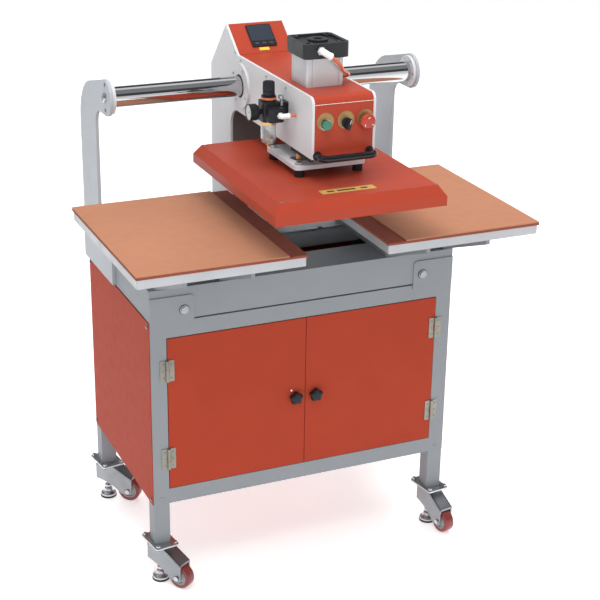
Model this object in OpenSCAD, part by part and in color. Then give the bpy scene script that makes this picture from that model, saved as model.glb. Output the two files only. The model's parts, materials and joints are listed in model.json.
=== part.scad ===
// Double-station pneumatic heat press on a castor cabinet.
// Millimetres. X to the right, Y to the back, Z up, floor at Z = 0.
// Each module draws one node; the press stands with its head up, between the two platens.

/* [Cabinet] */
// Width over the cabinet posts
cabinet_w = 800; // [600:10:1000]
// Depth over the cabinet posts
cabinet_d = 493; // [400:1:600]
// Height of the flat top of the bed above the floor
bed_top = 788; // [650:1:900]
// Side of the square posts and rails
post = 40; // [30:5:50]
// Height of the door opening
door_h = 400; // [300:10:500]

/* [Platens] */
// Width of each lower platen
platen_w = 400; // [300:10:450]
// Depth of each lower platen
platen_d = 500; // [400:10:600]
// Gap between the two lower platens
platen_gap = 200; // [120:10:240]
// Height of the platen brackets above the bed
bracket_h = 94; // [60:1:120]

/* [Head] */
// Where the head stands along the tube, from the middle of the cabinet
head_x = 16; // [-270:1:270]
// Width over the two side plates of the head
head_w = 156; // [140:2:180]
// Diameter of the chrome guide tube
tube_d = 50; // [40:1:60]
// How far the cylinder stands to the left of the middle of the head
press_offset = 7; // [0:1:12]
// Height of the guide tube's centre line above the floor
tube_z = 1180; // [1100:1:1250]
// How far the heat platen moves down
stroke = 85; // [60:1:90]

/* [Castors] */
// Diameter of the castor wheels
wheel_d = 63; // [50:1:75]
// Height of the castors under the posts
castor_h = 113; // [95:1:130]

/* [Hidden] */

round_fn = 32;
small_fn = 20;

// Colours
frame_grey = "#9aa2aa";
plate_white = "#d9dcdf";
press_red = "#d9492c";
steel = "#b9bdc2";
chrome = "#d5d8dc";
black = "#22262a";
silicone = "#c98262";
wheel_red = "#8e3a2e";

// Cabinet
bed_d = 530;
heat_w = 418;
heat_d = 520;
heat_lead = 15;
front_y = (heat_d / 2 + heat_lead - bed_d) / 2;
back_y = front_y + cabinet_d;
bed_back = front_y + bed_d;
half_w = cabinet_w / 2;
wall = 3;
rail_z = 222;
door_z = rail_z + post;
top_rail_z = door_z + door_h + 2;
beam_h = 80;
beam_z = bed_top - beam_h;
front_beam_d = 114;
deck_front = front_y + 247;
deck_t = 6;
rail_d = 10;
rail_h = 6;
panel_t = 2;
side_panel_z = rail_z;
side_panel_top = beam_z - 2;
corner_plate_w = 110;
corner_plate_t = 3;
corner_plate_h = 74;
corner_bolt_x = half_w - 85;
corner_bolt_z = bed_top - 56;

// Doors
door_t = 18;
door_gap = 1.5;
hinge_x = half_w - post;
hinge_y = front_y - 5;
hinge_d = 7;
hinge_h = 54;
hinge_leaf_w = 17.5;
hinge_leaf_t = 1.5;
hinge_zs = [346, 580];
knob_x = 27;
knob_z = 452;

// Uprights and tube
upright_t = 8;
tube_y = front_y + 273;
column_front = tube_y + 90;
column_back = tube_y + 226;
upright_foot_front = tube_y - 8;
upright_foot_back = tube_y + 234;
head_r = 44;
upright_back_r = 120;
shoulder_y = column_back - upright_back_r;
shoulder_z = tube_z - 105;
upright_neck_r = 40;
flange_t = 8;
tube_half = half_w;

// Platens
platen_t = 21;
pad_under_t = 6;
pad_top_t = 3.5;
pad_margin = 45;
platen_front = front_y - 227;
platen_z = bed_top + bracket_h + 8;
pad_z = platen_z + platen_t;
work_z = pad_z + pad_under_t + pad_top_t;
platen_x = (platen_gap + platen_w) / 2;
bracket_xs = [220, 380];
bracket_t = 10;

// Head
press_x = head_x - press_offset;
press_y = front_y - heat_lead;
side_t = 6;
head_left = head_x - head_w / 2;
head_right = head_x + head_w / 2;
arm_front = press_y - 135;
arm_bottom = 1110;
arm_top = 1250;
arm_back = tube_y + 28;
body_front = tube_y + 75;
body_back = tube_y + 212;
throat_r = body_front - arm_back;
body_foot = bed_top + 14;
shoe_gap = 0.3;
box_foot = body_foot + 40;
box_top_y = tube_y + 106;
box_top_z = 1310;
box_back_z = 1192;
base_t = 12;
cover_t = 1.5;
sheet_t = 2;
nose_r = 16;
inner_w = head_w - 2 * side_t;
screen_w = 66;
screen_h = 70;
screen_t = 3;
screen_rise = 5;
panel_angle = atan2(box_top_z - arm_top, box_top_y - arm_back);

// Heat platen
heat_z = work_z + stroke + 1.5;
heat_plate_t = 22;
heat_cover_z = heat_z + 2;
heat_side_h = 22;
heat_cover_h = 46;
heat_bevel = 16.5;
heat_top = heat_cover_z + heat_cover_h;
hanger_t = 10;
hanger_z = heat_top + 18;
hanger_w = 178;
hanger_d = 180;
spacer_d = 24;
spacer_x = hanger_w / 2 - 16;
spacer_y = hanger_d / 2 - 16;

// Pneumatic cylinder
cyl_side = 92;
cyl_bore = 80;
cyl_z = arm_bottom + base_t;
cyl_foot_t = 26;
cyl_top = 1316;
cap_side = 112;
cap_h = 34;
rod_d = 25;
guide_d = 16;
guide_y = 62;
rod_fit = 0.05;

// Regulator
reg_x = head_left - 43;
reg_y = press_y + 12;
reg_z = 1168;
reg_body_h = 46;
reg_body_w = 40;
reg_collar_h = 12;
reg_knob_d = 28;
reg_knob_h = 32;
gauge_d = 38;
gauge_t = 26;
bowl_d = 36;
bowl_h = 54;

// Controls on the front cover
control_z = 1188;
control_xs = [-46, 4, 52];
control_d = 16;

// Castors: post corner, and the way each wheel trails
castor_x = half_w - post / 2;
castor_front_y = front_y + post / 2;
castor_back_y = back_y - post / 2;
castor_places = [[-castor_x, castor_front_y], [castor_x, castor_front_y],
    [-castor_x, castor_back_y], [castor_x, castor_back_y]];
castor_turns = [33, 10, 50, 35];
castor_plate_t = 4;
castor_plate_w = 62;
castor_plate_d = 88;
castor_plate_turn = 8;
pin_d = 12;
fork_gap = 31;
fork_w = 40;
wheel_w = 27;
trail = 65;
axle_d = 8;
foot_d = 44;
stem_d = 10;
fork_top = castor_h - castor_plate_t - 4;

// Box by two opposite corners
module box(a, b) {
    translate(a) cube([b[0] - a[0], b[1] - a[1], b[2] - a[2]]);
}

// The child and its mirror image on the other side of the YZ plane
module both_sides() {
    children();
    mirror([1, 0, 0]) children();
}

// Prism whose outline is given in Y and Z, from x to x + thickness
module side_prism(x, thickness) {
    translate([x, 0, 0])
        rotate([90, 0, 90])
            linear_extrude(thickness) children();
}

// Cylinder along X
module rod_x(x, y, z, d, length, fn = round_fn) {
    translate([x, y, z])
        rotate([0, 90, 0])
            cylinder(d = d, h = length, $fn = fn);
}

// Cylinder along Y
module rod_y(x, y, z, d, length, fn = round_fn) {
    translate([x, y, z])
        rotate([-90, 0, 0])
            cylinder(d = d, h = length, $fn = fn);
}

// Domed screw head that stands along Z
module dome(d, h, fn = small_fn) {
    cylinder(d = d, h = h * 0.5, $fn = fn);
    translate([0, 0, h * 0.5]) cylinder(d = d * 0.7, h = h * 0.5, $fn = fn);
}

// Quarter disc in the quadrant where both coordinates are positive
module quarter_disc(r) {
    intersection() {
        circle(r, $fn = 48);
        square(r);
    }
}

// Square with rounded corners in the XY plane, centred
module rounded(w, d, r, fn = small_fn) {
    union() {
        square([w - 2 * r, d], center = true);
        square([w, d - 2 * r], center = true);
        for (x = [-1, 1], y = [-1, 1])
            translate([x * (w / 2 - r), y * (d / 2 - r)]) circle(r, $fn = fn);
    }
}

// ---- Cabinet ----

// Box-section tube between two opposite corners, open along the given axis
module square_tube(a, b, axis) {
    inner = [for (i = [0:2]) i == axis ? -1 : wall];
    difference() {
        box(a, b);
        box(a + inner, b - inner);
    }
}

module cart_frame() {
    color(frame_grey) {
        for (y = [front_y, back_y - post]) {
            top = y == front_y ? bed_top : beam_z;
            both_sides() {
                square_tube([hinge_x, y, castor_h], [half_w, y + post, top], 2);
                box([hinge_x, y, top - wall], [half_w, y + post, top]);
            }
        }
        for (z = [rail_z, top_rail_z]) {
            for (y = [front_y, back_y - post])
                square_tube([-hinge_x, y, z], [hinge_x, y + post, z + post], 0);
            both_sides()
                square_tube([hinge_x, front_y + post, z], [half_w, back_y - post, z + post], 1);
        }
    }
}

module front_beam() {
    color(frame_grey)
        square_tube([-hinge_x, front_y, beam_z], [hinge_x, front_y + front_beam_d, bed_top], 0);
}

module rear_deck() {
    color(frame_grey) {
        box([-hinge_x, deck_front, bed_top - deck_t], [hinge_x, bed_back, bed_top]);
        box([-hinge_x, deck_front, bed_top - post], [hinge_x, deck_front + deck_t, bed_top - deck_t]);
        square_tube([-hinge_x, bed_back - post, beam_z], [hinge_x, bed_back, bed_top - deck_t], 0);
    }
}

module side_beams() {
    color(frame_grey)
        both_sides()
            square_tube([hinge_x, front_y + post, beam_z], [half_w, bed_back, bed_top], 1);
}

module corner_plate_outline() {
    corner_r = 12;
    hull() {
        square([corner_plate_w, 1]);
        translate([corner_plate_w - 1, 0]) square([1, corner_plate_h]);
        translate([corner_r, corner_plate_h - corner_r]) circle(corner_r, $fn = round_fn);
    }
}

module corner_plates() {
    color(frame_grey)
        both_sides()
            translate([half_w - corner_plate_w, front_y, bed_top - 20 - corner_plate_h])
                rotate([90, 0, 0])
                    linear_extrude(corner_plate_t) corner_plate_outline();
}

// Corner bolts, the bolts in the ends of the tube and the side panels' screws
module frame_screws() {
    panel_inset = 12;
    color(steel)
        both_sides() {
            translate([corner_bolt_x, front_y - corner_plate_t, corner_bolt_z])
                rotate([90, 0, 0]) dome(22, 5);
            for (screw = [[-31, 10, 2], [0, 20, 8], [31, 10, 2]])
                translate([half_w + upright_t, tube_y, tube_z + screw[0]])
                    rotate([0, 90, 0]) dome(screw[1], screw[2]);
            for (y = [front_y + panel_inset, back_y - panel_inset])
                for (z = [side_panel_z + panel_inset, side_panel_top - panel_inset])
                    translate([half_w + panel_t, y, z])
                        rotate([0, 90, 0]) dome(9, 3);
        }
}

module side_panel() {
    box([half_w, front_y + 2, side_panel_z], [half_w + panel_t, back_y - 2, side_panel_top]);
}

module left_side_panel() {
    color(press_red) mirror([1, 0, 0]) side_panel();
}

module right_side_panel() {
    color(press_red) side_panel();
}

module back_panel() {
    color(press_red)
        box([-half_w + 2, back_y, rail_z], [half_w - 2, back_y + panel_t, side_panel_top]);
}

module bottom_shelf() {
    color(press_red)
        box([-hinge_x - post / 2, front_y + post + 1, rail_z + post],
            [hinge_x + post / 2, back_y - post - 1, rail_z + post + panel_t]);
}

module bed_rail() {
    color(steel)
        box([-hinge_x + 2, deck_front, bed_top], [hinge_x - 2, deck_front + rail_d, bed_top + rail_h]);
}

// ---- Uprights and guide tube ----

// Foot, column, and an arm whose top runs straight from the round head to the big back corner
module upright_outline() {
    run = shoulder_y - tube_y;
    drop = tube_z - shoulder_z;
    slope = atan2(drop, run) - asin((upright_back_r - head_r) / norm([run, drop]));
    normal = [sin(slope), cos(slope)];
    overlap = 0.4;
    arm_under = tube_z - head_r;
    translate([upright_foot_front, beam_z])
        square([upright_foot_back - upright_foot_front, beam_h]);
    translate([column_front, beam_z])
        square([column_back - column_front, shoulder_z - beam_z]);
    translate([tube_y, tube_z]) circle(head_r, $fn = 48);
    polygon([[tube_y, arm_under], [tube_y, tube_z] + (head_r - overlap) * normal,
        [shoulder_y, shoulder_z] + (upright_back_r - overlap) * normal, [shoulder_y, shoulder_z],
        [column_front, shoulder_z], [column_front, arm_under]]);
    translate([shoulder_y, shoulder_z]) quarter_disc(upright_back_r);
    translate([column_front - upright_neck_r, arm_under - upright_neck_r])
        difference() {
            square(upright_neck_r);
            quarter_disc(upright_neck_r);
        }
}

module upright() {
    color(plate_white)
        side_prism(half_w, upright_t) upright_outline();
}

module left_upright() {
    mirror([1, 0, 0]) upright();
}

module right_upright() {
    upright();
}

module tube_flanges() {
    color(plate_white)
        both_sides()
            difference() {
                rod_x(half_w - flange_t, tube_y, tube_z, 2 * head_r - 8, flange_t, 48);
                rod_x(half_w - flange_t - 1, tube_y, tube_z, tube_d, flange_t + 2, 48);
            }
}

module guide_tube() {
    color(chrome)
        difference() {
            rod_x(-tube_half, tube_y, tube_z, tube_d, 2 * tube_half, 48);
            rod_x(-tube_half - 1, tube_y, tube_z, tube_d - 8, 2 * tube_half + 2, 48);
        }
}

// ---- Lower platens ----

// Web that reaches out from the front beam and back over the deck to carry a platen
module bracket_outline() {
    nose = platen_front + 30;
    heel = front_y + 6;
    rear = platen_front + platen_d + 32;
    difference() {
        polygon([[heel, bed_top], [nose, bed_top + bracket_h - 14], [nose, bed_top + bracket_h],
            [rear, bed_top + bracket_h], [rear, bed_top]]);
        translate([deck_front, bed_top]) square([rail_d, rail_h]);
    }
}

module platen_brackets() {
    pad_h = platen_z - bed_top - bracket_h;
    color(frame_grey)
        both_sides()
            for (x = bracket_xs) {
                side_prism(x - bracket_t / 2, bracket_t) bracket_outline();
                for (y = [platen_front + 60, platen_front + platen_d - 60])
                    translate([x, y, bed_top + bracket_h])
                        cylinder(d = 22, h = pad_h, $fn = small_fn);
            }
}

module platen() {
    translate([platen_x, platen_front + platen_d / 2, platen_z])
        linear_extrude(platen_t) rounded(platen_w - 4, platen_d - 4, 6);
}

module left_platen() {
    color(steel) mirror([1, 0, 0]) platen();
}

module right_platen() {
    color(steel) platen();
}

// Sponge sheet over the whole platen, and a top sheet that stops short at the inner edge
module silicone_pads() {
    both_sides()
        translate([platen_x, platen_front + platen_d / 2, pad_z]) {
            color(wheel_red)
                linear_extrude(pad_under_t)
                    rounded(platen_w, platen_d, 4);
            color(silicone)
                translate([pad_margin / 2, 0, pad_under_t])
                    linear_extrude(pad_top_t)
                        rounded(platen_w - pad_margin, platen_d, 4);
        }
}

// ---- Doors ----

// A hinge leaf lies flat on its panel and carries part of the knuckle; part 0 is the middle
module knuckle(z, from, to) {
    translate([hinge_x, hinge_y, z + from * hinge_h])
        difference() {
            cylinder(d = hinge_d, h = (to - from) * hinge_h, $fn = small_fn);
            translate([0, 0, -1]) cylinder(d = 3.1, h = hinge_h + 2, $fn = small_fn);
        }
}

module hinge_leaves() {
    color(steel)
        both_sides()
            for (z = hinge_zs)
                translate([0, 0, -hinge_h / 2]) {
                    for (part = [0, 0.68]) {
                        foot = z + part * hinge_h;
                        top = z + (part + 0.32) * hinge_h;
                        knuckle(z, part, part + 0.32);
                        box([hinge_x + 3, front_y - hinge_leaf_t, foot],
                            [hinge_x + hinge_leaf_w, front_y, top]);
                        box([hinge_x + 2.2, hinge_y, foot], [hinge_x + 4.2, front_y, top]);
                    }
                    translate([hinge_x, hinge_y, z - 1])
                        cylinder(d = 3, h = hinge_h + 2, $fn = small_fn);
                }
}

module door() {
    face_y = front_y - 1;
    difference() {
        box([door_gap / 2, face_y, door_z + 2], [hinge_x - door_gap, face_y + door_t, door_z + door_h]);
        rod_y(knob_x, face_y - 1, knob_z, 8.1, door_t + 2);
    }
    for (z = hinge_zs)
        translate([0, 0, -hinge_h / 2]) {
            knuckle(z, 0.34, 0.66);
            box([hinge_x - hinge_leaf_w, face_y - hinge_leaf_t, z], [hinge_x - 4, face_y, z + hinge_h]);
            box([hinge_x - 4.5, hinge_y - 1, z + 0.34 * hinge_h],
                [hinge_x - 2.2, face_y, z + 0.66 * hinge_h]);
        }
}

module left_door() {
    color(press_red) mirror([1, 0, 0]) door();
}

module right_door() {
    color(press_red) door();
}

// Five-lobed knob on a stem that goes through the door, with a short latch cam behind it
module door_knob() {
    lobe_r = 7;
    knob_t = 14;
    translate([knob_x, front_y - 1, knob_z])
        rotate([90, 0, 0]) {
            translate([0, 0, 2])
                linear_extrude(knob_t)
                    union() {
                        circle(14, $fn = small_fn);
                        for (i = [0:4])
                            rotate(90 + 72 * i)
                                translate([11, 0]) circle(lobe_r, $fn = small_fn);
                    }
            translate([0, 0, -door_t - 5]) cylinder(d = 8, h = door_t + 8, $fn = round_fn);
            translate([-7, -7, -door_t - 5]) cube([14, 30, 3]);
        }
}

module left_door_knob() {
    color(black) mirror([1, 0, 0]) door_knob();
}

module right_door_knob() {
    color(black) door_knob();
}

// ---- Castors ----

module at_castor(i) {
    translate([castor_places[i][0], castor_places[i][1], 0])
        rotate(castor_turns[i]) children();
}

module castor_plates() {
    bolt_inset = 8;
    bolt_x = castor_plate_w / 2 - bolt_inset;
    bolt_y = castor_plate_d / 2 - bolt_inset;
    for (p = castor_places)
        translate([p[0], p[1], castor_h - castor_plate_t])
            rotate(castor_plate_turn) {
                color(plate_white)
                    difference() {
                        linear_extrude(castor_plate_t)
                            rounded(castor_plate_w, castor_plate_d, 6);
                        translate([0, 0, -1])
                            cylinder(d = pin_d + 0.1, h = castor_plate_t + 2, $fn = round_fn);
                    }
                color(steel)
                    for (x = [-1, 1], y = [-1, 1])
                        translate([x * bolt_x, y * bolt_y, castor_plate_t])
                            cylinder(d = 11, h = 6, $fn = 6);
            }
}

// Folded housing: a roof that slopes down over the wheel and two cheeks with a curved back edge,
// with the swivel pin and the wheel axle in place
module castor_fork(i) {
    cheek = (fork_w - fork_gap) / 2;
    roof_t = 5;
    axle_z = wheel_d / 2;
    front = -trail - 12;
    back = 26;
    bend = -20;
    front_top = wheel_d + 8;
    color(steel)
        at_castor(i) {
            difference() {
                union() {
                    side_prism(-fork_w / 2, fork_w)
                        polygon([[back, fork_top], [bend, fork_top], [front, front_top],
                            [front, front_top - roof_t - 1], [bend - 1, fork_top - roof_t],
                            [back, fork_top - roof_t]]);
                    for (x = [-fork_w / 2, fork_gap / 2])
                        side_prism(x, cheek)
                            difference() {
                                polygon([[back, fork_top], [bend, fork_top], [front, front_top],
                                    [front, axle_z - 4], [front + 6, axle_z - 10],
                                    [back, axle_z - 10]]);
                                translate([58, -85]) circle(150, $fn = 96);
                            }
                }
                translate([0, 0, fork_top - roof_t - 1])
                    cylinder(d = stem_d + 0.1, h = roof_t + 2, $fn = round_fn);
            }
            translate([0, 0, fork_top])
                difference() {
                    union() {
                        cylinder(d = 34, h = castor_h - castor_plate_t - fork_top - 0.4, $fn = round_fn);
                        cylinder(d = pin_d, h = castor_h - fork_top - 0.4, $fn = round_fn);
                    }
                    translate([0, 0, -1])
                        cylinder(d = stem_d + 0.1, h = castor_h - fork_top + 2, $fn = round_fn);
                }
            rod_x(-fork_w / 2 - 3, -trail, axle_z, axle_d, fork_w + 6, small_fn);
        }
}

module castor_fork_front_left() { castor_fork(0); }
module castor_fork_front_right() { castor_fork(1); }
module castor_fork_rear_left() { castor_fork(2); }
module castor_fork_rear_right() { castor_fork(3); }

module castor_wheel(i) {
    bead = 8;
    at_castor(i)
        translate([0, -trail, wheel_d / 2])
            rotate([0, 90, 0]) {
                color(wheel_red)
                    difference() {
                        translate([0, 0, -wheel_w / 2]) cylinder(d = wheel_d, h = wheel_w, $fn = 48);
                        translate([0, 0, -wheel_w])
                            cylinder(d = wheel_d - 2 * bead, h = 2 * wheel_w, $fn = 48);
                    }
                color(steel)
                    difference() {
                        translate([0, 0, -wheel_w / 2 + 1])
                            cylinder(d = wheel_d - 2 * bead, h = wheel_w - 2, $fn = 48);
                        translate([0, 0, -wheel_w])
                            cylinder(d = axle_d + 2 * rod_fit, h = 2 * wheel_w, $fn = small_fn);
                    }
            }
}

module castor_wheel_front_left() { castor_wheel(0); }
module castor_wheel_front_right() { castor_wheel(1); }
module castor_wheel_rear_left() { castor_wheel(2); }
module castor_wheel_rear_right() { castor_wheel(3); }

// Screw stem, bell-shaped foot and rubber pad under the swivel
module levelling_foot(i) {
    pad_h = 5;
    bell_h = 21;
    rim_r = foot_d / 2 - 1;
    at_castor(i)
        color(chrome)
            union() {
                cylinder(d = foot_d, h = pad_h, $fn = round_fn);
                translate([0, 0, pad_h])
                    rotate_extrude($fn = round_fn)
                        polygon([[0, 0], [rim_r, 0], [rim_r, 6], [rim_r - 3, 8],
                            [stem_d + 2, bell_h - 4], [stem_d - 1, bell_h], [0, bell_h]]);
                translate([0, 0, bell_h]) cylinder(d = stem_d, h = fork_top + 6 - bell_h, $fn = round_fn);
            }
}

module levelling_foot_front_left() { levelling_foot(0); }
module levelling_foot_front_right() { levelling_foot(1); }
module levelling_foot_rear_left() { levelling_foot(2); }
module levelling_foot_rear_right() { levelling_foot(3); }

// ---- Sliding head ----

module head_outline() {
    difference() {
        polygon([[body_back, body_foot], [body_back, box_back_z], [box_top_y, box_top_z],
            [arm_back, arm_top], [arm_front + nose_r, arm_top], [arm_front, arm_top - nose_r],
            [arm_front, arm_bottom], [arm_back, arm_bottom],
            [arm_back, arm_bottom - throat_r], [body_front, arm_bottom - throat_r],
            [body_front, body_foot]]);
        translate([arm_back, arm_bottom - throat_r]) quarter_disc(throat_r);
    }
    translate([arm_front + nose_r, arm_top - nose_r]) circle(nose_r, $fn = round_fn);
}

module head_side_plate(x) {
    color(plate_white)
        difference() {
            side_prism(x, side_t) head_outline();
            rod_x(x - 1, tube_y, tube_z, tube_d + 24, side_t + 2, 48);
        }
}

module left_side_plate() { head_side_plate(head_left); }
module right_side_plate() { head_side_plate(head_right - side_t); }

// Two flanged bushes on the tube, and the shoe that slides along the deck
module carriage_bearings() {
    bush_d = tube_d + 24;
    bush_l = 36;
    rim_d = 112;
    rim_t = 6;
    color(steel)
        for (side = [-1, 1]) {
            rim_x = side < 0 ? head_left - rim_t : head_right;
            bush_x = side < 0 ? head_left : head_right - bush_l;
            difference() {
                union() {
                    rod_x(rim_x, tube_y, tube_z, rim_d, rim_t, 48);
                    rod_x(bush_x, tube_y, tube_z, bush_d, bush_l, 48);
                }
                rod_x(head_left - 20, tube_y, tube_z, tube_d + 2 * rod_fit, head_w + 40, 48);
            }
        }
    color(black)
        box([head_left + side_t, body_front + 10, bed_top + shoe_gap],
            [head_right - side_t, body_back - 10, box_foot]);
}

// Plate that ties the two side plates together and carries the cylinder and guide rods
module arm_base() {
    color(steel)
        difference() {
            box([head_left + side_t, arm_front + 8, arm_bottom],
                [head_right - side_t, arm_back - 12, arm_bottom + base_t]);
            translate([press_x, press_y, arm_bottom - 1])
                cylinder(d = rod_d + 2 * rod_fit, h = base_t + 2, $fn = round_fn);
            for (side = [-1, 1])
                translate([press_x, press_y + side * guide_y, arm_bottom - 1])
                    cylinder(d = guide_d + 2 * rod_fit, h = base_t + 2, $fn = round_fn);
        }
}

// Folded red cover over the arm: top, rounded nose and front face
module head_cover() {
    x = head_left + side_t + 0.2;
    w = inner_w - 0.4;
    color(press_red)
        difference() {
            union() {
                box([x, arm_front + nose_r, arm_top - cover_t], [x + w, arm_back - 2, arm_top]);
                box([x, arm_front, arm_bottom], [x + w, arm_front + cover_t, arm_top - nose_r]);
                intersection() {
                    difference() {
                        rod_x(x, arm_front + nose_r, arm_top - nose_r, 2 * nose_r, w);
                        rod_x(x - 1, arm_front + nose_r, arm_top - nose_r, 2 * (nose_r - cover_t), w + 2);
                    }
                    box([x - 1, arm_front - 1, arm_top - nose_r],
                        [x + w + 1, arm_front + nose_r, arm_top + 1]);
                }
            }
            box([press_x - cyl_side / 2 - 1, press_y - cyl_side / 2 - 1, arm_top - 10],
                [press_x + cyl_side / 2 + 1, press_y + cyl_side / 2 + 1, arm_top + 10]);
            for (dx = control_xs)
                rod_y(head_x + dx, arm_front - 1, control_z, control_d + 2 * rod_fit, 4);
        }
}

// Folded sheet behind the arm: sloping instrument panel and back
module control_box() {
    color(press_red)
        side_prism(head_left + side_t, inner_w)
            polygon([[arm_back, arm_top], [box_top_y, box_top_z], [body_back, box_back_z],
                [body_back, box_foot], [body_back - sheet_t, box_foot],
                [body_back - sheet_t, box_back_z - 1], [box_top_y, box_top_z - 3.5],
                [arm_back + 3, arm_top - 1]]);
}

// Sheet that closes the front of the column and curves forward under the arm
module column_cover() {
    throat_z = arm_bottom - throat_r;
    color(plate_white)
        side_prism(head_left + side_t, inner_w) {
            translate([body_front, box_foot]) square([sheet_t, throat_z - box_foot]);
            translate([arm_back, throat_z])
                difference() {
                    quarter_disc(throat_r + sheet_t);
                    quarter_disc(throat_r);
                }
        }
}

module touchscreen() {
    color(black)
        translate([head_left + 47, (arm_back + box_top_y) / 2, (arm_top + box_top_z) / 2])
            rotate([panel_angle, 0, 0])
                translate([0, screen_rise - screen_h / 2, 0])
                    cube([screen_w, screen_h, screen_t]);
}

// ---- Cylinder and press ----

module cylinder_body() {
    color(steel)
        translate([press_x, press_y, cyl_z]) {
            difference() {
                linear_extrude(cyl_foot_t) rounded(cyl_side, cyl_side, 8);
                translate([0, 0, -1]) cylinder(d = rod_d + 2 * rod_fit, h = cyl_foot_t + 2, $fn = round_fn);
            }
            translate([0, 0, cyl_foot_t])
                difference() {
                    linear_extrude(cyl_top - cyl_z - cyl_foot_t) rounded(cyl_side, cyl_side, 8);
                    translate([0, 0, -1]) cylinder(d = cyl_bore, h = 300, $fn = 48);
                }
        }
}

// End block: raised rim and corners, a centre boss with a port, and counterbores for the tie rods
module cylinder_cap() {
    corner_r = 14;
    rim = 8;
    recess = 5;
    tie = 42;
    color(black)
        translate([press_x, press_y, cyl_top])
            difference() {
                linear_extrude(cap_h) rounded(cap_side, cap_side, corner_r, round_fn);
                translate([0, 0, cap_h - recess])
                    linear_extrude(recess + 1)
                        difference() {
                            rounded(cap_side - 2 * rim, cap_side - 2 * rim, corner_r - rim);
                            circle(d = 46, $fn = round_fn);
                            for (x = [-tie, tie], y = [-tie, tie])
                                translate([x, y]) circle(d = 22, $fn = round_fn);
                        }
                translate([0, 0, cap_h - 14]) cylinder(d = 20, h = 15, $fn = round_fn);
                for (x = [-tie, tie], y = [-tie, tie])
                    translate([x, y, cap_h - 8]) cylinder(d = 12, h = 9, $fn = small_fn);
            }
}

module press_rods() {
    piston_t = 22;
    piston_z = cyl_top - piston_t - 3;
    guide_top = arm_bottom + base_t + stroke + 20;
    color(chrome) {
        translate([press_x, press_y, hanger_z + hanger_t])
            cylinder(d = rod_d, h = piston_z - hanger_z - hanger_t, $fn = round_fn);
        translate([press_x, press_y, piston_z])
            cylinder(d = cyl_bore - 2 * rod_fit, h = piston_t, $fn = 48);
        for (side = [-1, 1])
            translate([press_x, press_y + side * guide_y, hanger_z + hanger_t])
                cylinder(d = guide_d, h = guide_top - hanger_z - hanger_t, $fn = round_fn);
    }
}

module hanger_plate() {
    color(steel)
        translate([press_x, press_y, hanger_z])
            difference() {
                linear_extrude(hanger_t) rounded(hanger_w, hanger_d, 14);
                for (side = [-1, 1])
                    translate([side * 52, -26, -1]) cylinder(d = 44, h = hanger_t + 2, $fn = round_fn);
            }
}

module at_spacers() {
    for (x = [-1, 1], y = [-1, 1])
        translate([x * spacer_x, y * spacer_y, 0]) children();
}

// Heat breaks that stand on the heated plate and pass through its cover
module platen_spacers() {
    foot_z = heat_z + heat_plate_t;
    color(black)
        translate([press_x, press_y, foot_z])
            at_spacers() cylinder(d = spacer_d, h = hanger_z - foot_z, $fn = round_fn);
}

module heat_plate() {
    inset = 6;
    color(steel)
        translate([press_x, press_y, heat_z])
            linear_extrude(heat_plate_t) rounded(heat_w - 2 * inset, heat_d - 2 * inset, 5);
}

// Bevelled sheet cover over the heated plate
module heat_cover_block(inset) {
    w = heat_w - 2 * inset;
    d = heat_d - 2 * inset;
    top_w = w - 2 * heat_bevel;
    top_d = d - 2 * heat_bevel;
    hull() {
        translate([-w / 2, -d / 2, 0]) cube([w, d, heat_side_h - inset / 2]);
        translate([-top_w / 2, -top_d / 2, 0]) cube([top_w, top_d, heat_cover_h - inset]);
    }
}

module heat_cover() {
    color(press_red)
        translate([press_x, press_y, heat_cover_z])
            difference() {
                heat_cover_block(0);
                translate([0, 0, -1]) heat_cover_block(cover_t);
                at_spacers()
                    cylinder(d = spacer_d + 2 * rod_fit, h = heat_cover_h + 1, $fn = round_fn);
            }
}

// ---- Head fittings ----

module head_handle() {
    bar_d = 16;
    bar_w = 129;
    bar_y = arm_front - 34;
    handle_z = arm_bottom + 8;
    color(black) {
        for (side = [-1, 1]) {
            rod_y(head_x + side * bar_w / 2, bar_y, handle_z, bar_d, arm_front - bar_y, small_fn);
            translate([head_x + side * bar_w / 2, bar_y, handle_z])
                sphere(d = bar_d, $fn = small_fn);
        }
        rod_x(head_x - bar_w / 2, bar_y, handle_z, bar_d, bar_w, small_fn);
    }
}

module regulator_body() {
    half = reg_body_w / 2;
    color(black) {
        difference() {
            translate([reg_x, reg_y, reg_z])
                linear_extrude(reg_body_h) rounded(reg_body_w, reg_body_w, 8);
            translate([reg_x, reg_y, reg_z + reg_body_h - 8])
                cylinder(d = 8.1, h = 9, $fn = small_fn);
        }
        translate([reg_x, reg_y, reg_z + reg_body_h])
            difference() {
                cylinder(d = 34, h = reg_collar_h, $fn = round_fn);
                translate([0, 0, -1]) cylinder(d = 8.1, h = reg_collar_h + 2, $fn = small_fn);
            }
        box([reg_x + half - 6, reg_y - 12, reg_z + 10], [head_left, reg_y + 12, reg_z + 34]);
        box([head_left - 3, reg_y - 15, reg_z + 2], [head_left, reg_y + 15, reg_z + 42]);
    }
}

module regulator_knob() {
    color(black)
        translate([reg_x, reg_y, reg_z + reg_body_h + reg_collar_h]) {
            translate([0, 0, 0.4]) cylinder(d = reg_knob_d, h = reg_knob_h, $fn = small_fn);
            translate([0, 0, -reg_collar_h - 6]) cylinder(d = 8, h = 20, $fn = small_fn);
        }
}

module pressure_gauge() {
    left = reg_x - reg_body_w / 2;
    color(black) {
        rod_x(left - gauge_t - 4, reg_y, reg_z + 22, gauge_d, gauge_t);
        rod_x(left - 4, reg_y, reg_z + 22, 12, 4, small_fn);
    }
}

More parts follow.
